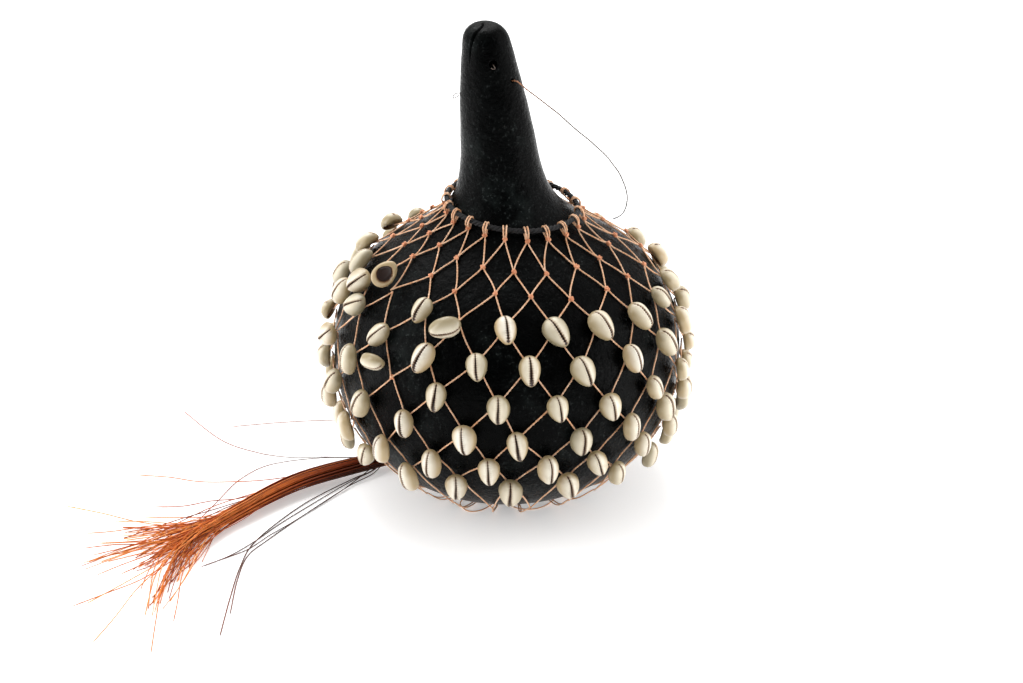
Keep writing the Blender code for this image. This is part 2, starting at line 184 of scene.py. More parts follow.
def tube(path, radius, sides=6, closed=False, twist=0.0, flat=0.0):
    """Points and faces of a tube. twist is degrees for each millimetre, and flat how oval its section is."""
    path = np.asarray(path, float)
    count = len(path)
    radii = np.broadcast_to(radius, count)
    if closed:
        along = np.roll(path, -1, 0) - np.roll(path, 1, 0)
    else:
        along = np.gradient(path, axis=0)
    along /= np.linalg.norm(along, axis=1)[:, None]
    normal = np.cross(along[0], (0.31, 0.17, 0.93))
    normal /= np.linalg.norm(normal)
    normals = []
    for way in along:
        normal = normal - way * (normal @ way)
        normal /= np.linalg.norm(normal)
        normals.append(normal)
    normals = np.array(normals)
    steps = np.linalg.norm(np.diff(path, axis=0), axis=1)
    travelled = np.concatenate([[0.0], np.cumsum(steps)])
    turn = np.radians(twist) * travelled
    if closed:
        back = normals[-1] - along[0] * (normals[-1] @ along[0])
        back /= np.linalg.norm(back)
        across = np.cross(along[0], normals[0])
        slip = math.atan2(back @ across, back @ normals[0])
        turn = turn - slip * travelled / (travelled[-1] + steps[0])
    across = np.cross(along, normals)
    angles = 2.0 * np.pi * np.arange(sides) / sides
    spin = angles[None, :] + turn[:, None]
    reach = radii[:, None] * (1.0 + flat * np.cos(2.0 * angles))[None, :]
    points = (
        path[:, None, :]
        + normals[:, None, :] * (np.cos(spin) * reach)[..., None]
        + across[:, None, :] * (np.sin(spin) * reach)[..., None]
    ).reshape(-1, 3)
    faces = []
    for i in range(count if closed else count - 1):
        j = (i + 1) % count
        for side in range(sides):
            beside = (side + 1) % sides
            faces.append((i * sides + side, i * sides + beside, j * sides + beside, j * sides + side))
    if not closed:
        faces.append(tuple(reversed(range(sides))))
        faces.append(tuple(range((count - 1) * sides, count * sides)))
    return points, faces


def curve_through(points, step):
    """A smooth line through the points, with a point about every step."""
    points = np.asarray(points, float)
    before = np.concatenate([[2 * points[0] - points[1]], points[:-1]])
    after = np.concatenate([points[1:], [2 * points[-1] - points[-2]]])
    line = []
    for i in range(len(points) - 1):
        start, end = points[i], points[i + 1]
        pull = (after[i] - before[i]) / 2.0
        push = (after[i + 1] - before[i + 1]) / 2.0
        pieces = max(2, int(np.linalg.norm(end - start) / step))
        t = np.arange(pieces)[:, None] / pieces
        line.append(
            start * (2 * t**3 - 3 * t**2 + 1)
            + pull * (t**3 - 2 * t**2 + t)
            + end * (-2 * t**3 + 3 * t**2)
            + push * (t**3 - t**2)
        )
    line.append(points[-1:])
    return np.concatenate(line)


# ---------------------------------------------------------------- the gourd's surface

OUTLINE = curve_through(PROFILE + ((GOURD_HEIGHT, 0.8),), 2.2)
OUTLINE[:, 0] = np.maximum.accumulate(np.clip(OUTLINE[:, 0], 0.0, GOURD_HEIGHT))


def radius_at(height):
    return np.interp(height, OUTLINE[:, 0], OUTLINE[:, 1])


def lean_at(height):
    up = np.maximum(0.0, (np.asarray(height, float) - LEAN_FROM) / (GOURD_HEIGHT - LEAN_FROM))
    return -LEAN * up


def around(angle):
    """Unit vectors out from the axis and round it."""
    turn = np.radians(np.asarray(angle, float) - 90.0)
    flat = np.zeros_like(turn)
    return np.stack([np.cos(turn), np.sin(turn), flat], -1), np.stack([-np.sin(turn), np.cos(turn), flat], -1)


def on_gourd(angle, height, off):
    """Points this far off the wall, and the wall's outward and upward directions there."""
    angle, height, off = np.broadcast_arrays(
        np.asarray(angle, float), np.asarray(height, float), np.asarray(off, float)
    )
    out, _ = around(angle)
    tilt = np.arctan2(radius_at(height - 4.0) - radius_at(height + 4.0), 8.0)[..., None]
    rise = np.zeros_like(out)
    rise[..., 2] = 1.0
    normal = out * np.cos(tilt) + rise * np.sin(tilt)
    up = rise * np.cos(tilt) - out * np.sin(tilt)
    return out * radius_at(height)[..., None] + rise * height[..., None] + normal * off[..., None], normal, up


def crossings():
    """The angle and height of every crossing of the net, each a little off its even place."""
    chance = random.Random(SEED)
    placed = {}
    for level, (height, askew, nod, phase, gather) in LEVELS.items():
        loose = {"collar": 0.35, "hem": 0.8}.get(level, 1.0)
        row = []
        for k in range(COLUMNS):
            angle = phase + STEP * k
            angle -= gather * math.sin(math.radians(angle))
            turn = math.radians(angle)
            left = max(0.0, -math.sin(turn))
            wander = loose * (1.0 + 0.9 * left)
            row.append(
                (
                    angle + chance.uniform(-1.1, 1.1) * wander,
                    height - askew * math.sin(turn) - nod * math.cos(turn)
                    + chance.uniform(-1.5, 1.5) * wander,
                )
            )
        placed[level] = row
    return placed


CROSSINGS = crossings()


def crossing(level, k):
    """Angle and height of a level's crossing, for any whole number of columns round."""
    angle, height = CROSSINGS[level][k % COLUMNS]
    return angle + 360.0 * (k // COLUMNS), height


# ---------------------------------------------------------------- materials


class Shader:
    """A Principled material with short ways to add the nodes that drive it."""

    def __init__(self, name):
        self.mat = bpy.data.materials.new(name)
        self.mat.use_nodes = True
        self.tree = self.mat.node_tree
        self.main = self.tree.nodes["Principled BSDF"]

    def set(self, **values):
        for name, value in values.items():
            self.main.inputs[name.replace("_", " ")].default_value = value
        return self

    def node(self, kind, **settings):
        node = self.tree.nodes.new(kind)
        for name, value in settings.items():
            if name in node.inputs:
                node.inputs[name].default_value = value
            else:
                setattr(node, name, value)
        return node

    def link(self, source, target):
        self.tree.links.new(source, target)

    def place(self):
        return self.node("ShaderNodeTexCoord").outputs["Object"]

    def noise(self, scale, detail=4.0, rough=0.55, where=None):
        node = self.node("ShaderNodeTexNoise", Scale=scale, Detail=detail, Roughness=rough)
        self.link(where or self.place(), node.inputs["Vector"])
        return node.outputs["Fac"]

    def value(self, name):
        return self.node("ShaderNodeAttribute", attribute_name=name).outputs["Fac"]

    def ramp(self, source, *stops):
        node = self.node("ShaderNodeValToRGB")
        band = node.color_ramp.elements
        while len(band) < len(stops):
            band.new(0.5)
        for mark, (at, colour) in zip(band, stops):
            mark.position = at
            mark.color = (*colour, 1.0) if len(colour) == 3 else colour
        self.link(source, node.inputs["Fac"])
        return node.outputs["Color"]

    def grey(self, source, low, high, start=0.0, end=1.0):
        node = self.node("ShaderNodeMapRange")
        for name, value in (("From Min", start), ("From Max", end), ("To Min", low), ("To Max", high)):
            node.inputs[name].default_value = value
        self.link(source, node.inputs["Value"])
        return node.outputs["Result"]

    def mix(self, part, one, two, kind="MIX"):
        node = self.node("ShaderNodeMix", data_type="RGBA", blend_type=kind)
        for name, given in (("Factor", part), ("A", one), ("B", two)):
            socket = node.inputs[name]
            if isinstance(given, bpy.types.NodeSocket):
                self.link(given, socket)
            elif isinstance(given, (int, float)):
                socket.default_value = given
        for name, given in (("A", one), ("B", two)):
            sockets = [s for s in node.inputs if s.name == name and s.type == "RGBA"]
            if isinstance(given, bpy.types.NodeSocket):
                self.link(given, sockets[0])
            elif isinstance(given, tuple):
                sockets[0].default_value = (*given, 1.0)
        return [s for s in node.outputs if s.type == "RGBA"][0]

    def bump(self, source, strength, distance, below=None):
        node = self.node("ShaderNodeBump", Strength=strength, Distance=distance)
        self.link(source, node.inputs["Height"])
        if below:
            self.link(below, node.inputs["Normal"])
        return node.outputs["Normal"]

    def drive(self, **sources):
        for name, source in sources.items():
            self.link(source, self.main.inputs[name.replace("_", " ")])
        return self.mat


def lacquer():
    """Black lacquer over calabash skin: blue-black, with paler clouds that are partly scuffs and partly
    painted sheen, pale specks painted in as highlight glints, and orange peel.
    """
    s = Shader("black_lacquer").set(Specular_IOR_Level=0.03)
    clouds = s.noise(26.0, 6.0, 0.64)
    grain = s.noise(310.0, 4.0, 0.7)
    dark, middle, pale = (0.0002, 0.0003, 0.0003), (0.0010, 0.0013, 0.0013), (0.010, 0.013, 0.0125)
    # Paler clouds in the colour: partly scuffed skin, partly painted sheen.
    colour = s.ramp(clouds, (0.42, dark), (0.56, middle), (0.74, pale))
    # Pale specks, added where the clouds are paler: painted highlight glints.
    glint_specks = s.ramp(s.noise(480.0, 3.0, 0.75), (0.57, (0.0, 0.0, 0.0)), (0.70, (0.040, 0.045, 0.044)))
    colour = s.mix(s.grey(clouds, 0.02, 1.0, 0.46, 0.68), colour, s.mix(1.0, colour, glint_specks, "ADD"))
    peel = s.bump(grain, 0.8, 0.0009)
    return s.drive(
        Base_Color=colour,
        Roughness=s.grey(grain, 0.16, 0.38, 0.35, 0.7),
        Normal=s.bump(s.noise(60.0, 4.0), 0.4, 0.0016, peel),
    )


def shell():
    """Polished cowrie: cream, with tan sides that are partly its own tan and partly painted shade where it
    turns away, a pale toothed face, and a slit painted red-brown to near black as shade in its groove,
    between its teeth and in its open back.
    """
    s = Shader("cowrie_shell")
    s.set(Coat_Weight=0.3, Coat_Roughness=0.15, Roughness=0.36, Specular_IOR_Level=0.4)
    tint = s.value("tint")
    body = s.ramp(tint, (0.0, (0.86, 0.81, 0.70)), (0.5, (0.80, 0.73, 0.58)), (1.0, (0.70, 0.63, 0.48)))
    # Tan towards the sides and over the back: partly the shell's own tan, partly painted shade where the
    # shell turns away.
    sides = s.ramp(tint, (0.0, (0.50, 0.37, 0.20)), (0.6, (0.36, 0.28, 0.15)), (1.0, (0.28, 0.24, 0.15)))
    edge = s.grey(s.value("edge"), 0.0, 1.0, 0.18, 0.85)
    colour = s.mix(edge, body, sides)
    cloud = s.noise(260.0, 4.0, 0.6)
    colour = s.mix(s.grey(cloud, 0.0, 0.40, 0.48, 0.75), colour, (0.46, 0.38, 0.24))
    # Red-brown, then near black, in the slit's groove, between the teeth and in the open back: painted shade
    # in these recesses.
    slit = s.value("slit")
    colour = s.mix(s.grey(slit, 0.0, 0.8, 0.02, 0.30), colour, (0.34, 0.17, 0.08))
    colour = s.mix(s.grey(slit, 0.0, 1.0, 0.22, 0.70), colour, (0.035, 0.012, 0.007))
    return s.drive(Base_Color=colour, Normal=s.bump(s.noise(900.0, 2.0), 0.12, 0.0002))


def cord_look(name, light, dark, rough):
    """Tight synthetic cord, blotched at random between a darker and a paler tone."""
    s = Shader(name).set(Roughness=rough, Specular_IOR_Level=0.35)
    blend = s.noise(240.0, 3.0, 0.6)
    colour = s.ramp(blend, (0.30, dark), (0.68, light))
    return s.drive(Base_Color=colour, Normal=s.bump(s.noise(2600.0, 2.0), 0.25, 0.0001))


def fibre():
    """Loose strands from rust orange to dark maroon, each with its own tone."""
    s = Shader("rust_fibre").set(Roughness=0.45, Specular_IOR_Level=0.22)
    tone = s.ramp(
        s.value("tint"),
        (0.0, (0.92, 0.36, 0.09)), (0.35, (0.70, 0.17, 0.022)),
        (0.65, (0.34, 0.055, 0.010)), (1.0, (0.055, 0.022, 0.014)),
    )
    colour = s.mix(s.grey(s.noise(150.0, 3.0), 0.0, 0.5, 0.45, 0.75), tone, (0.15, 0.030, 0.008))
    return s.drive(Base_Color=colour, Normal=s.bump(s.noise(1800.0, 2.0), 0.2, 0.0001))


def floor_look():
    s = Shader("pale_floor").set(Roughness=0.9, Specular_IOR_Level=0.1, Emission_Strength=0.38)
    s.set(Emission_Color=(1.0, 1.0, 1.0, 1.0))
    colour = s.ramp(s.noise(3.0, 2.0), (0.3, (0.90, 0.90, 0.90)), (0.7, (0.92, 0.92, 0.92)))
    return s.drive(Base_Color=colour)


# ---------------------------------------------------------------- camera and light


def stage():
    camera = bpy.data.objects.new("camera", bpy.data.cameras.new("camera"))
    camera.data.lens = LENS
    tilt = math.radians(CAMERA_ELEVATION)
    away = Vector((0.0, -math.cos(tilt), math.sin(tilt)))
    camera.location = Vector(LOOK_AT) + away * CAMERA_DISTANCE
    camera.rotation_euler = (math.pi / 2.0 - tilt, 0.0, 0.0)
    bpy.context.scene.collection.objects.link(camera)
    bpy.context.scene.camera = camera

    half = 6.0
    mesh = bpy.data.meshes.new("floor")
    corners = [(-half, -half, 0), (half, -half, 0), (half, half, 0), (-half, half, 0)]
    mesh.from_pydata(corners, [], [(0, 1, 2, 3)])
    mesh.materials.append(floor_look())
    floor = bpy.data.objects.new("floor", mesh)
    bpy.context.scene.collection.objects.link(floor)

    for name, place, size, power in (
        ("back_top", (-0.25, 0.9, 1.5), (1.6, 1.0), 26.0),
        ("left_box", (-1.3, -0.35, 0.75), (0.7, 1.2), 9.0),
        ("right_box", (1.3, -0.1, 0.8), (0.7, 1.2), 7.0),
        ("right_strip", (0.38, -0.13, 0.09), (0.07, 0.17), 0.30),
        ("left_strip", (-0.40, -0.04, 0.09), (0.07, 0.17), 0.20),
    ):
        lamp = bpy.data.lights.new(name, "AREA")
        lamp.shape = "RECTANGLE"
        lamp.size, lamp.size_y = size
        lamp.energy = power
        holder = bpy.data.objects.new(name, lamp)
        holder.location = place
        aim = Vector((0.0, 0.0, 0.12)) - Vector(place)
        holder.rotation_euler = aim.to_track_quat("-Z", "Y").to_euler()
        bpy.context.scene.collection.objects.link(holder)

    world = bpy.data.worlds.new("studio")
    world.use_nodes = True
    tree = world.node_tree
    split = tree.nodes.new("ShaderNodeSeparateXYZ")
    soft = tree.nodes.new("ShaderNodeMapRange")
    soft.interpolation_type = "SMOOTHSTEP"
    for name, value in (("From Min", -0.95), ("From Max", -0.25), ("To Min", 0.10), ("To Max", 0.85)):
        soft.inputs[name].default_value = value
    tree.links.new(tree.nodes.new("ShaderNodeTexCoord").outputs["Generated"], split.inputs["Vector"])
    tree.links.new(split.outputs["Y"], soft.inputs["Value"])
    tree.links.new(soft.outputs["Result"], tree.nodes["Background"].inputs["Strength"])
    tree.nodes["Background"].inputs["Color"].default_value = (1.0, 1.0, 1.0, 1.0)
    bpy.context.scene.world = world
    bpy.context.scene.view_settings.view_transform = "Standard"


# ---------------------------------------------------------------- the gourd


def turned(rows, sides, lean=True):
    """Points and faces of a closed solid turned from (height, radius) rows."""
    turn = 2.0 * np.pi * np.arange(sides) / sides
    heights = np.array([row[0] for row in rows])[:, None]
    radii = np.array([row[1] for row in rows])[:, None]
    shift = lean_at(heights) if lean else 0.0
    points = np.stack(
        np.broadcast_arrays(shift + radii * np.cos(turn), radii * np.sin(turn), heights), -1
    ).reshape(-1, 3)
    faces = []
    for row in range(len(rows) - 1):
        for side in range(sides):
            a = row * sides + side
            b = row * sides + (side + 1) % sides
            faces.append((a, b, b + sides, a + sides))
    faces.append(tuple(reversed(range(sides))))
    faces.append(tuple(range((len(rows) - 1) * sides, len(rows) * sides)))
    return points, faces


def cut(thing, cutter):
    cutter.hide_render = True
    cutter.hide_viewport = True
    mod = thing.modifiers.new("cut_" + cutter.name, "BOOLEAN")
    mod.operation = "DIFFERENCE"
    mod.solver = "EXACT"
    mod.object = cutter


def applied(thing):
    """The piece with its modifiers applied and its cutters removed."""
    bpy.context.view_layer.update()
    cutters = [m.object for m in thing.modifiers]
    for cutter in cutters:
        cutter.hide_viewport = False
    bpy.context.view_layer.update()
    mesh = bpy.data.meshes.new_from_object(thing.evaluated_get(bpy.context.evaluated_depsgraph_get()))
    thing.modifiers.clear()
    thing.data = mesh
    for cutter in cutters:
        bpy.data.objects.remove(cutter, do_unlink=True)
    return thing


def rough_skin(points):
    """Calabash isn't turned on a lathe: a few slow lumps, more on the neck, and a dimple by the split."""
    moved = []
    tip = Vector((-LEAN - 1.5, -4.0, GOURD_HEIGHT))
    for x, y, z in points:
        out = Vector((x - float(lean_at(z)), y, 0.0))
        if out.length < 1e-6:
            moved.append((x, y, z))
            continue
        neck = float(smoothstep(z, 196.0, 225.0))
        lump = noise.noise(Vector((x, y, z)) * 0.020) * (0.35 + 0.9 * neck) - 0.12
        lump += noise.noise(Vector((x, y, z)) * 0.085) * (0.10 + 0.22 * neck)
        far = (Vector((x, y, z)) - tip).length
        push = out.normalized() * lump * min(1.0, out.length / 12.0)
        sink = 1.3 * math.exp(-((far / 4.5) ** 2))
        moved.append((x + push.x, y + push.y, z - sink))
    return moved


def build_gourd(mats):
    rows = [tuple(row) for row in OUTLINE]
    points, faces = turned(rows, 144)
    build = Build()
    build.add(rough_skin(points), faces)
    gourd = build.piece("gourd_skin", mats["lacquer"])

    inner = [(z + (3.0 if z < 30.0 else 0.0), r - WALL - (2.0 if z < 30.0 else 0.0)) for z, r in PROFILE
             if 12.0 <= z < CAVITY_TOP]
    cavity = Build()
    cavity.add(*turned([(WALL, 26.0), *inner, (CAVITY_TOP, 10.0)], 48))
    cut(gourd, cavity.piece("cavity", mats["lacquer"]))
    for number, (angle, height, diameter) in enumerate(NECK_HOLES):
        out, _ = around(angle)
        centre = np.array([float(lean_at(height)), 0.0, height])
        drill = Build()
        drill.add(*tube([centre + out * 5.0, centre + out * 40.0], diameter / 2.0, 20))
        cut(gourd, drill.piece("drill_%d" % number, mats["lacquer"]))

    split = Build()
    # Down the split from the tip: angle, height, distance from the neck's middle, depth and half width.
    route = (
        (-8.0, 299.0, 3.0, 5.0, 0.9), (-24.0, 295.6, 8.0, 5.0, 1.5), (-34.0, 291.0, 12.0, 4.4, 1.5),
        (-40.0, 284.0, 14.4, 3.2, 0.95), (-43.0, 275.0, 15.8, 0.3, 0.12),
    )
    loop = []
    for angle, height, reach, deep, half in route:
        out, side = around(angle)
        inward = -out * 0.85 - np.array([0.0, 0.0, 0.5])
        at = out * reach + np.array([float(lean_at(height)), 0.0, height])
        loop.append((at - inward * 2.5 - side * half, at - inward * 2.5 + side * half,
                     at + inward * deep + side * half * 0.3, at + inward * deep - side * half * 0.3))
    corners = np.array(loop).reshape(-1, 3)
    faces = [(0, 1, 2, 3), (19, 18, 17, 16)]
    for i in range(4):
        for j in range(4):
            a, b = i * 4 + j, i * 4 + (j + 1) % 4
            faces.append((a, a + 4, b + 4, b))
    split.add(corners, faces)
    cut(gourd, split.piece("split", mats["lacquer"]))
    applied(gourd)
    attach(gourd, "gourd")
    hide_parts("gourd")


# ---------------------------------------------------------------- the net


def collar_at(angle):
    turn = np.radians(angle)
    height = COLLAR_HEIGHT - COLLAR_ASKEW * np.sin(turn) - COLLAR_NOD * np.cos(turn)
    return on_gourd(angle, height, COLLAR_GAP)


def build_collar(mats):
    """A black cord laid up from three strands, twisted."""
    rope = Build()
    count = 300
    turns = 30
    angle = 360.0 * np.arange(count) / count
    centre, normal, up = collar_at(angle)
    for strand in range(3):
        spin = np.radians(angle * turns + 120.0 * strand)[:, None]
        path = centre + (normal * np.cos(spin) + up * np.sin(spin)) * 0.82
        rope.add(*tube(path, 0.86, 7, True))
    piece = rope.piece("collar_rope", mats["black_cord"], "collar", "black_cord")
    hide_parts("collar_ring")


def knot(build, centre, normal, up, size, chance):
    """A small overhand knot: a trefoil of cord pressed flat against the net."""
    t = 2.0 * np.pi * np.arange(34) / 34
    turn = chance.uniform(0.0, 2.0 * math.pi)
    x = (np.sin(t) + 2.0 * np.sin(2.0 * t)) / 3.0
    y = (np.cos(t) - 2.0 * np.cos(2.0 * t)) / 3.0
    z = -np.sin(3.0 * t) * 0.42
    side = np.cross(up, normal)
    across = side * math.cos(turn) + up * math.sin(turn)
    rise = up * math.cos(turn) - side * math.sin(turn)
    path = centre + (x[:, None] * across + y[:, None] * rise + z[:, None] * normal) * size
    build.add(*tube(path, CORD * 0.52, 6, True), tint=chance.random())


def build_knots(mats):
    chance = random.Random(SEED + 1)
    for level, node in (("collar", None), ("tier_a", "net_tier_a"), ("tier_b", "net_tier_b")):
        build = Build("tint")
        for k in range(COLUMNS):
            angle, height = crossing(level, k)
            centre, normal, up = on_gourd(angle, height, 2.4 if level == "collar" else 1.7)
            for lift in (-0.25, 0.35):
                knot(build, centre + normal * lift, normal, up, 1.15 + chance.uniform(-0.1, 0.15), chance)
        piece = build.piece("knots_" + level, mats["knot"], BODY_OF[level], "copper_cord")
        if node:
            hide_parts(node)


def build_collar_loops(mats):
    """Each column starts as a doubled cord hooked over the collar, its two strands side by side."""
    chance = random.Random(SEED + 2)
    grip = 1.78 + CORD / 2.0
    for k in range(COLUMNS):
        angle, height = crossing("collar", k)
        knot_at, knot_normal, _ = on_gourd(angle, height, 1.9)
        centre, normal, up = collar_at(angle)
        _, round_it = around(angle)
        build = Build()
        for side in (-1.0, 1.0):
            lean = chance.uniform(-0.3, 0.3)
            spread = round_it * side * 0.85
            loop = [
                knot_at + spread * 0.45 + knot_normal * 0.3,
                centre - up * grip * 1.5 + normal * grip * 0.55 + spread * 0.9,
                centre - up * grip * 0.4 + normal * grip * 0.98 + spread,
                centre + (up * 0.72 + normal * 0.72) * grip + spread + round_it * lean,
                centre + up * grip + spread + round_it * lean,
                centre + (up * 0.6 - normal * 0.72) * grip + spread,
                centre - (up * 0.6 + normal * 0.74) * grip + spread * 0.9,
                knot_at + spread * 0.4 - knot_normal * 0.5,
            ]
            build.add(*tube(curve_through(loop, 0.7), CORD / 2.0, 6, False, 85.0, 0.16))
        piece = build.piece("loop_%02d" % (k + 1), mats["net_cord"], "collar", "copper_cord")
        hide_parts("collar_loop_%02d" % (k + 1))


def net_cord(start, end, off_start, off_end, ease):
    """A path over the gourd between two crossings, lying on the skin in between."""
    (angle0, height0), (angle1, height1) = start, end
    t = np.linspace(0.0, 1.0, 40)
    eased = 1.0 - (1.0 - t) ** ease
    angle = angle0 + (angle1 - angle0) * eased
    height = height0 + (height1 - height0) * t
    off = off_start + (off_end - off_start) * t
    off = np.maximum(0.85, off - 1.6 * np.sin(np.pi * t) ** 0.6)
    return on_gourd(angle, height, off)[0]


def build_cords(mats):
    """The zigzags of cord between each level and the next."""
    chance = random.Random(SEED + 3)
    levels = list(LEVELS)
    for above, below in zip(levels, levels[1:]):
        build = Build()
        knotted = above in ("collar", "tier_a", "tier_b")
        for k in range(COLUMNS):
            low = crossing(below, k)
            for side in (0, 1):
                high = crossing(above, k + SHIFT[below] + side)
                ease = chance.uniform(1.15, 1.75) if knotted else chance.uniform(0.97, 1.06)
                off_high = 1.9 if knotted else 1.3
                off_low = 1.9 if below in ("tier_a", "tier_b") else 3.2
                path = net_cord(high, low, off_high, off_low, ease)
                build.add(*tube(path, CORD / 2.0, 6, False, 85.0, 0.16))
        cords = build.piece("cords_to_" + below, mats["net_cord"], None, "copper_cord")
        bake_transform(cords)
        if below == "hem":
            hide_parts("net_hem")


# ---------------------------------------------------------------- the shells


def cowrie(chance):
    """One cowrie, slit face towards +Z, its wider end up.

    Its back is cut open, as on shells that are strung.
    """
    rows = 58
    half_long = SHELL_LENGTH / 2.0
    half_wide = SHELL_WIDTH / 2.0 * chance.uniform(0.93, 1.06)
    bend = chance.uniform(0.25, 0.75)
    slant = chance.uniform(-0.25, 0.25)
    gape = chance.uniform(0.65, 1.15)
    egg = chance.uniform(0.08, 0.24)
    pitch = chance.uniform(1.35, 1.6)
    v = np.arange(1, rows) / rows
    y = 0.72 * (2.0 * v - 1.0) - 0.28 * np.cos(np.pi * v)
    around_face = np.linspace(-1.0, 1.0, 31)
    face = np.sign(around_face) * np.abs(around_face) ** 1.55
    rear = np.linspace(1.0, -1.0, 17)[1:-1]

    outline = half_wide * (1.0 - np.abs(y) ** 2.15) ** 0.56 * (1.0 + egg * y)
    middle = bend * np.sin(y * 2.6) * 0.9 + slant * y * 2.0
    rise = SHELL_RISE * (1.0 - np.abs(y) ** 2.7) ** 0.52
    ends = smoothstep(1.0 - np.abs(y), 0.015, 0.10)

    x = face[None, :] * outline[:, None] + (middle * ends)[:, None] * (1.0 - face[None, :] ** 2)
    z = rise[:, None] * (1.0 - np.abs(face[None, :]) ** 2.3) ** 0.55
    away = np.abs(x - (middle * ends)[:, None])
    tooth = np.cos(2.0 * np.pi * y * half_long / pitch)[:, None]
    open_here = (gape * (0.75 - 0.45 * y) * ends)[:, None]
    lip = open_here * (1.0 - 0.70 * np.maximum(tooth, 0.0))
    groove = 1.0 - smoothstep(away, lip * 0.55, lip * 1.35 + 0.12)
    groove *= ends[:, None]
    z = z - 2.1 * groove * np.minimum(1.0, rise / SHELL_RISE)[:, None]
    z = z + 0.30 * np.exp(-(((away - 1.3) / 0.9) ** 2)) * ends[:, None]
    z = z + 0.24 * tooth * np.exp(-np.maximum(0.0, away - lip) / 1.4) * (1.0 - groove) * ends[:, None]
    points = np.stack([x, np.broadcast_to((y * half_long)[:, None], x.shape), z], -1)

    reach = np.sqrt(rear[None, :] ** 2 + (y[:, None] / 0.86) ** 2)
    crown = ((1.0 - np.abs(y) ** 3.2) ** 0.5)[:, None]
    back = -SHELL_BACK * (1.0 - np.abs(rear[None, :]) ** 3.2) ** 0.5 * crown
    hollow = 1.0 - smoothstep(reach, 0.60, 0.78)
    back = back + 5.0 * hollow * np.minimum(1.0, rise / SHELL_RISE)[:, None]
    heights = np.broadcast_to((y * half_long)[:, None], back.shape)
    behind = np.stack([rear[None, :] * outline[:, None], heights, back], -1)

    ring = np.concatenate([points, behind], 1)
    wide = ring.shape[1]
    between = 1.0 - 0.8 * np.maximum(tooth, 0.0)
    # Painted shade between the teeth along the lip.
    tooth_gap_shade = 0.26 * np.exp(-np.maximum(0.0, away - lip) / 0.8) * between * ends[:, None]
    # The open back gets 0.8, so it is painted near black as shade too.
    slit = np.concatenate([np.maximum(groove, tooth_gap_shade), hollow * 0.8], 1)
    # How far towards the sides, the back and the ends a point lies; it drives the tan and the painted shade
    # there.
    edge = np.concatenate([np.broadcast_to(np.abs(face) ** 1.4, groove.shape), np.ones_like(hollow)], 1)
    edge = np.maximum(edge, np.abs(y)[:, None] ** 5)
    bottom = np.array([[0.0, -half_long, 0.0]])
    top = np.array([[0.0, half_long, 0.0]])
    all_points = np.concatenate([bottom, ring.reshape(-1, 3), top])
    count = len(all_points)
    faces = []
    for row in range(rows - 2):
        for i in range(wide):
            a = 1 + row * wide + i
            b = 1 + row * wide + (i + 1) % wide
            faces.append((a, b, b + wide, a + wide))
    last = 1 + (rows - 2) * wide
    for i in range(wide):
        faces.append((0, 1 + (i + 1) % wide, 1 + i))
        faces.append((count - 1, last + i, last + (i + 1) % wide))
    slit = np.concatenate([[0.0], slit.reshape(-1), [0.0]])
    edge = np.concatenate([[1.0], edge.reshape(-1), [1.0]])
    return all_points, faces, slit, edge


# Shells that hang out of line: roll, turn about the long axis, and how far round and up they have slipped.
# Two hang from one of the crossings.
ODD_SHELLS = {
    ("row1", -1): ((-66.0, 62.0, -2.0, -3.0),),
    ("row1", -3): ((170.0, 118.0, -4.0, 1.5),),
    ("row2", -2): ((-28.0, 8.0, 0.0, 0.0), (-82.0, 58.0, 3.0, -14.0)),
    ("row2", -3): ((-46.0, 12.0, 0.0, 3.0),),
}
# How far the slits lean, top to the left, where nothing pushes a shell aside.
SHELL_LEAN = 9.0
# Crossings whose shell is lost, leaving a bare knot.
LOST_SHELLS = (("row3", -2),)


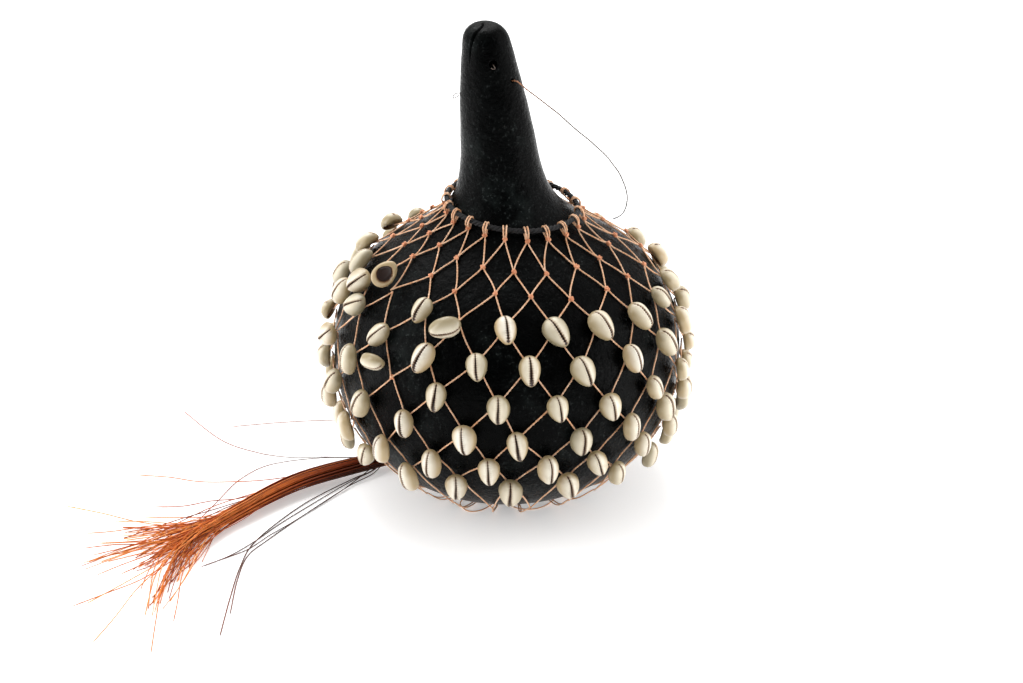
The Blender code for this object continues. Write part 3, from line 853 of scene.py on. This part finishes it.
def build_shells(mats):
    chance = random.Random(SEED + 4)
    kinds = [cowrie(chance) for _ in range(8)]
    for row in ROWS:
        hang = SHELL_HANG[row]
        for side_name, first, count in ARCS:
            build = Build("tint", "slit", "edge")
            bare = Build("tint")
            for k in range(first, first + count):
                angle, height = crossing(row, k)
                side = math.sin(math.radians(angle))
                left = max(0.0, -side - 0.45)
                aside = SHELL_ASIDE[row] * side * (1.0 if side > 0.0 else 1.7)
                roll = SHELL_LEAN + aside + chance.gauss(0.0, 8.0) * (1.0 + 2.2 * left)
                turn = chance.gauss(0.0, 9.0) * (1.0 + 2.6 * left)
                tilt = hang + chance.gauss(0.0, 3.0)
                size = chance.uniform(0.80, 0.99)
                tint = chance.random()
                points, faces, slit, edge = kinds[chance.randrange(len(kinds))]
                column = (k + COLUMNS // 2) % COLUMNS - COLUMNS // 2
                if (row, column) in LOST_SHELLS:
                    centre, normal, up = on_gourd(angle, height, 1.9)
                    knot(bare, centre, normal, up, 1.3, chance)
                    continue
                for roll, turn, slip, lifted in ODD_SHELLS.get((row, column), ((roll, turn, 0.0, 0.0),)):
                    off = 0.6 + 4.2 * math.sin(math.radians(hang))
                    at, normal, up = on_gourd(angle + slip, height + lifted, off)
                    across = np.cross(up, normal)
                    frame = Matrix((across, up, normal)).transposed()
                    frame = frame @ Matrix.Rotation(math.radians(-tilt), 3, "X")
                    frame = frame @ Matrix.Rotation(math.radians(roll), 3, "Z")
                    frame = frame @ Matrix.Rotation(math.radians(turn), 3, "Y")
                    facing = math.cos(math.radians(turn))
                    thick = SHELL_BACK + (SHELL_RISE - SHELL_BACK) * 0.5 * (1.0 - facing)
                    thick += 3.6 * abs(math.sin(math.radians(turn)))
                    place = np.array(frame) @ np.array([0.0, -SHELL_DROP, 0.0]) + normal * (thick + 0.4)
                    placed = (points * size) @ np.array(frame).T + place + at
                    build.add(placed, faces, tint=tint, slit=slit, edge=edge)
            arc = "%s_%s" % (row, side_name)
            piece = build.piece("shells_" + arc, mats["shell"], BODY_OF[row], "cowrie_shell")
            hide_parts("cowries_" + arc)
            if bare.count:
                bare.piece("bare_knot_" + row, mats["knot"], BODY_OF[row], "copper_cord")


# ---------------------------------------------------------------- under the gourd


def build_underside(mats):
    """The cord ends: down from the hem, in under the gourd, then round the foot to the binding."""
    chance = random.Random(SEED + 5)
    build = Build()
    binding = np.array(BINDING_AT)
    for k in range(COLUMNS):
        angle, height = crossing("hem", k)
        for _ in range(2):
            top = on_gourd(angle, height, 2.6)[0]
            foot_angle = angle + chance.uniform(-5.0, 5.0)
            home = 261.5
            gap = (home - foot_angle + 180.0) % 360.0 - 180.0
            out, _ = around(foot_angle)
            reach = chance.uniform(33.0, 42.0)
            route = [top, out * 60.0 + (0.0, 0.0, 4.6), out * (reach + 6.0) + (0.0, 0.0, 1.7)]
            steps = max(2, int(abs(gap) / 22.0))
            for i in range(1, steps + 1):
                out, _ = around(foot_angle + gap * i / (steps + 1))
                away = reach + chance.uniform(-1.5, 1.5)
                route.append(out * away + (0.0, 0.0, chance.uniform(0.5, 0.95)))
            spread = np.array([chance.uniform(-half, half) for half in (1.0, 3.4, 2.6)])
            route.append(binding * (0.80, 0.80, 0.5) + spread * 0.5)
            route.append(binding + spread * 0.8)
            build.add(*tube(curve_through(route, 1.6), CORD * 0.46, 5))
    for swag in (
        ((27.0, -30.0), (29.0, -38.0), (22.0, -47.0), (13.0, -50.0), (4.0, -47.0), (-1.0, -36.0)),
        ((-27.0, -36.0), (-29.0, -44.0), (-24.0, -52.0), (-16.0, -51.0), (-9.0, -43.0), (-6.0, -32.0)),
        ((-50.0, 6.0), (-59.0, 0.0), (-60.0, -12.0), (-55.0, -22.0), (-44.0, -22.0)),
    ):
        build.add(*tube(curve_through([(x, y, 0.7) for x, y in swag], 1.6), CORD * 0.46, 5))
    piece = build.piece("underside_strands", mats["net_cord"], "underside", "copper_cord")
    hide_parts("underside_cords_front", "underside_cords_back")

    way = np.array(TAIL_SWING_AT) - binding
    way[2] = 0.0
    way /= np.linalg.norm(way)
    side = np.cross(way, (0.0, 0.0, 1.0))
    wrap = Build()
    turns = 9
    t = np.linspace(0.0, 1.0, turns * 22)
    spin = 2.0 * np.pi * turns * t
    radius = 4.9 + 0.25 * np.sin(np.pi * t)
    path = (
        binding
        + way * ((t - 0.5) * 8.6)[:, None]
        + side * (np.cos(spin) * radius)[:, None]
        + np.array([0.0, 0.0, 1.0]) * (np.sin(spin) * radius)[:, None]
    )
    wrap.add(*tube(path, 0.52, 7))
    core = [binding + way * u for u in (-5.2, -3.0, 0.0, 3.0, 4.6)]
    wrap.add(*tube(core, np.array([3.2, 4.6, 4.8, 4.6, 4.0]), 20))
    piece = wrap.piece("binding_wrap", mats["knot"], "underside", "copper_cord")
    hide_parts("net_binding")


# ---------------------------------------------------------------- the tail

# How high the middle of a tail strand is where it lies on the floor.
ON_FLOOR = 0.55
TAIL_LINE = (
    TAIL_SWING_AT, (-95.0, -5.0, 6.8), TAIL_LIFT_AT, (-132.0, -27.5, 7.0), (-147.0, -41.5, 6.6),
    (-163.0, -60.0, 6.0), (-180.0, -80.0, 5.2), (-198.0, -101.0, 4.4), (-216.0, -120.0, 3.4),
)
# Single strands that reach furthest: where each ends on the floor, and how far along the bundle it leaves.
TAIL_TIPS = (
    (-272, -47, 0.60), (-256, -78, 0.62), (-255, -96, 0.68), (-251, -111, 0.72), (-239, -124, 0.74),
    (-228, -125, 0.80), (-250, -160, 0.74), (-239, -154, 0.78), (-231, -195, 0.72), (-200, -164, 0.74),
    (-194, -206, 0.68), (-189, -173, 0.70), (-203, -155, 0.74), (-219, -45, 0.40), (-233, -8, 0.34),
    (-241, -66, 0.56), (-244, -90, 0.64), (-236, -72, 0.60), (-212, -140, 0.78), (-206, -170, 0.74),
    (-246, -102, 0.70), (-222, -58, 0.50), (-208, -128, 0.80), (-226, -96, 0.70),
)
# Tufts: where their nearest and furthest strands end, how wide they spread, how many strands, and how far
# along the bundle the strands leave.
TAIL_TUFTS = (
    ((-199.0, -89.0), (-219.0, -119.0), 3.2, 30, (0.50, 0.72)),
    ((-188.0, -98.0), (-202.0, -162.0), 3.0, 32, (0.60, 0.80)),
    ((-200.0, -81.0), (-243.0, -82.0), 4.2, 26, (0.42, 0.66)),
    ((-206.0, -96.0), (-246.0, -112.0), 4.0, 14, (0.55, 0.75)),
    ((-186.0, -104.0), (-199.0, -150.0), 3.2, 12, (0.58, 0.76)),
)
# Strands that part from the tail at the binding: dark ones falling forwards and fine ones lying behind.
LOOSE_STRANDS = (
    ("dark_1", 0.75, (
        (-86.0, -6.0, 3.0), (-98.0, -14.0, 1.4), (-127.0, -45.0, 0.6), (-151.0, -87.0, 0.5),
        (-157.0, -116.0, 0.45), (-159.0, -150.0, 0.45), (-160.0, -188.0, 0.45),
    )),
    ("dark_2", 0.7, (
        (-84.0, -8.0, 3.0), (-100.0, -23.0, 1.2), (-125.0, -57.0, 0.5), (-144.0, -86.0, 0.5),
        (-154.0, -104.0, 0.45), (-157.0, -130.0, 0.45), (-157.0, -166.0, 0.45),
    )),
    ("dark_3", 0.65, (
        (-84.0, -4.0, 3.0), (-97.0, -15.0, 1.4), (-112.0, -32.0, 0.6), (-137.0, -65.0, 0.5),
        (-152.0, -88.0, 0.5), (-165.0, -104.0, 0.45), (-180.0, -116.0, 0.45),
    )),
    ("dark_4", 0.6, (
        (-88.0, -6.0, 3.4), (-104.0, -29.0, 1.4), (-130.0, -64.0, 0.6), (-143.0, -80.0, 0.5),
        (-155.0, -97.0, 0.5), (-168.0, -107.0, 0.45), (-172.0, -110.0, 0.45),
    )),
    ("hair_1", 0.5, (
        (-94.0, 8.0, 5.0), (-118.0, 12.0, 3.0), (-140.0, 15.0, 1.0), (-163.0, 23.0, 0.4),
        (-188.0, 40.0, 0.4), (-218.0, 80.0, 0.4),
    )),
    ("hair_2", 0.5, (
        (-82.0, 30.0, 4.0), (-96.0, 56.0, 2.0), (-118.0, 66.0, 0.6), (-150.0, 64.0, 0.4),
        (-183.0, 58.0, 0.4),
    )),
    ("hair_3", 0.55, (
        (-96.0, 6.0, 6.0), (-118.0, 10.0, 3.5), (-142.0, 9.5, 1.0), (-158.0, 2.0, 0.5),
        (-171.0, -16.0, 0.5), (-180.0, -40.0, 0.5), (-190.0, -66.0, 0.5),
    )),
)


def tail_strand(chance, tip_x, tip_y, leaves):
    """From the binding along the bundle, then away in a loose curve to lie on the floor."""
    line = curve_through(TAIL_LINE, 4.0)
    steps = np.linalg.norm(np.diff(line, axis=0), axis=1)
    along = np.concatenate([[0.0], np.cumsum(steps)])
    along /= along[-1]
    ahead = np.gradient(line, axis=0)
    ahead /= np.linalg.norm(ahead, axis=1)[:, None]
    side = np.cross(ahead, (0.0, 0.0, 1.0))
    turn = chance.uniform(0.0, 2.0 * math.pi)
    rim = math.sqrt(chance.random())
    bundle_wide = 4.6 + 2.8 * smoothstep(along, 0.05, 0.5) + 1.5 * smoothstep(along, 0.5, 0.9)
    bundle_tall = 4.2 + 0.6 * smoothstep(along, 0.0, 0.3) - 2.6 * smoothstep(along, 0.4, 1.0)
    wide = bundle_wide * rim * math.cos(turn)
    tall = bundle_tall * rim * math.sin(turn)
    twist = chance.uniform(-0.9, 0.9)
    path = line + side * (wide * np.cos(twist * along) + 1.2 * np.sin(7.0 * along + turn))[:, None]
    path[:, 2] = np.maximum(ON_FLOOR, line[:, 2] + tall)
    cut_at = int(np.searchsorted(along, leaves))
    kept = path[: max(3, cut_at)]
    last = kept[-1]
    tip = np.array([tip_x + chance.uniform(-2, 2), tip_y + chance.uniform(-2, 2), ON_FLOOR])
    reach = np.linalg.norm(tip - last)
    heading = ahead[max(2, cut_at - 1)]
    swerve = side[max(2, cut_at - 1)] * chance.uniform(-0.10, 0.10) * reach
    points = [last]
    for t in (0.2, 0.4, 0.6, 0.8, 1.0):
        straight = last + (tip - last) * t
        follow = last + heading * reach * t
        keep = (1.0 - t) ** 1.4
        arch = math.sin(math.pi * t)
        point = follow * keep + straight * (1.0 - keep) + swerve * arch
        point[2] = ON_FLOOR + (last[2] - ON_FLOOR) * (1.0 - t) ** 1.5 + chance.uniform(0.0, 3.0) * arch
        points.append(point)
    tail = curve_through(points, 4.0)[1:]
    return np.concatenate([kept, tail])


def strand_tint(path, tint):
    """Darker near the binding, and a little brighter towards the tip."""
    gone = np.concatenate([[0.0], np.cumsum(np.linalg.norm(np.diff(path, axis=0), axis=1))])
    shade = tint + 0.48 * (1.0 - smoothstep(gone, 15.0, 110.0)) - 0.12 * smoothstep(gone, 110.0, 190.0)
    return np.clip(shade, 0.0, 1.0)


def build_tail(mats):
    chance = random.Random(SEED + 6)
    lift = np.array(TAIL_LIFT_AT)
    way = lift - np.array(TAIL_SWING_AT)
    way[2] = 0.0
    way /= np.linalg.norm(way)
    strands = []
    for x, y, leaves in TAIL_TIPS:
        strands.append((tail_strand(chance, x, y, leaves), 0.65, chance.uniform(0.15, 0.75)))
    begin = np.array(TAIL_SWING_AT)
    for name, thick, route in LOOSE_STRANDS:
        path = curve_through([begin + np.array([0.0, 0.0, 2.0]), *route], 3.0)
        strands.append((path, thick, 1.0 if name.startswith("dark") else 0.75))
    for number, (path, thick, tint) in enumerate(strands):
        build = Build("tint")
        taper = np.ones(len(path))
        taper[-1] = 0.55
        build.add(*tube(path, thick / 2.0 * taper, 6), tint=np.repeat(strand_tint(path, tint), 6))
        strand = build.piece("tail_strand_%02d" % (number + 1), mats["fibre"], None, "rust_fibre")
        if number == 0:
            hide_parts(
                "tail_root", "tail_bundle", "tail_wisp_1", "tail_wisp_2", "tail_wisp_3",
                "tail_wisp_4", "tail_wisp_5", "tail_wisp_6",
            )
        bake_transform(strand)

    tuft = Build("tint")
    for near, far, spread, count, (soonest, latest) in TAIL_TUFTS:
        for _ in range(count):
            reach = chance.random()
            x, y = (a + (b - a) * reach + chance.gauss(0.0, spread) for a, b in zip(near, far))
            path = tail_strand(chance, x, y, chance.uniform(soonest, latest))
            tints = strand_tint(path, chance.random() * 0.9)
            tuft.add(*tube(path, chance.uniform(0.24, 0.34), 5), tint=np.repeat(tints, 5))
    hairs = tuft.piece("tail_hairs", mats["fibre"], None, "rust_fibre")
    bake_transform(hairs)


# ---------------------------------------------------------------- threads


TETHER_ROUTE = (
    (11.5, -16.4, 261.5), (18.5, -17.0, 256.2), (24.5, -16.8, 251.2), (30.0, -16.0, 246.5),
    (36.0, -14.5, 240.3), (42.0, -12.0, 234.0), (48.2, -8.5, 227.6), (54.0, -4.5, 220.8),
    (59.2, -0.5, 214.3), (63.4, 3.5, 207.4), (67.1, 7.5, 201.0), (69.9, 11.0, 194.1),
    (72.0, 14.0, 187.8), (73.2, 16.5, 181.0), (72.8, 18.5, 174.5), (71.0, 20.0, 169.2),
    (68.0, 21.0, 166.2), (65.3, 21.8, 164.8),
)


def build_threads(mats):
    angle, height, _ = NECK_HOLES[1]
    out, _ = around(angle)
    mouth = np.array([float(lean_at(height)), 0.0, height]) + out * 17.0
    path = curve_through([mouth, mouth + out * 4.0 + (0.0, 0.0, 0.4), *TETHER_ROUTE], 1.6)
    build = Build("tint")
    along = np.linspace(0.0, 1.0, len(path))
    points, faces = tube(path, 0.45, 7, False, 70.0, 0.10)
    build.add(points, faces, tint=np.repeat(along, 7))
    tether = build.piece("tether", mats["tether"], "gourd", "copper_thread")
    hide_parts("tether_thread")

    scraps = Build("tint")
    for (angle, height, _), inner, loop in (
        (NECK_HOLES[0], 13.0, ((0.4, 0.8, -0.8), (0.9, 1.3, -1.9), (-0.6, 1.2, -2.2), (-1.3, 0.6, -1.6))),
        (NECK_HOLES[2], 14.0, (
            (0.4, 2.2, 0.6), (1.6, 4.2, 0.0), (1.0, 4.4, -2.2), (-0.6, 2.0, -2.0), (-0.9, 0.8, -1.0),
        )),
    ):
        out, round_it = around(angle)
        centre = np.array([float(lean_at(height)), 0.0, height])
        skin = centre + out * float(radius_at(height))
        route = [centre + out * inner]
        route += [skin + round_it * x + out * y + np.array([0.0, 0.0, z]) for x, y, z in loop]
        scraps.add(*tube(curve_through(route, 0.7), 0.26, 6), tint=0.5)
    scraps.piece("thread_scraps", mats["tether"], "gourd", "copper_thread")


def tether_look():
    """Copper where it leaves the hole, then greyer."""
    s = Shader("copper_thread").set(Roughness=0.45)
    tone = s.ramp(
        s.value("tint"),
        (0.0, (0.62, 0.25, 0.11)), (0.12, (0.30, 0.15, 0.09)),
        (0.30, (0.10, 0.075, 0.06)), (1.0, (0.06, 0.05, 0.045)),
    )
    return s.drive(Base_Color=s.mix(s.grey(s.noise(900.0, 2.0), 0.0, 0.5), tone, (0.12, 0.08, 0.06)))


# ---------------------------------------------------------------- all together


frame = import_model()
stage()
MATS = {
    "lacquer": lacquer(),
    "shell": shell(),
    # The net cord's paler tones stand partly for glare on it: painted highlight.
    "net_cord": cord_look("copper_cord", (0.92, 0.62, 0.42), (0.74, 0.36, 0.17), 0.36),
    "knot": cord_look("copper_knot", (0.84, 0.40, 0.22), (0.56, 0.19, 0.08), 0.42),
    "black_cord": cord_look("black_cord", (0.012, 0.011, 0.012), (0.003, 0.003, 0.003), 0.7),
    "fibre": fibre(),
    "tether": tether_look(),
}
build_tail(MATS)
build_threads(MATS)
build_gourd(MATS)
build_collar(MATS)
build_collar_loops(MATS)
build_knots(MATS)
build_cords(MATS)
build_shells(MATS)
build_underside(MATS)
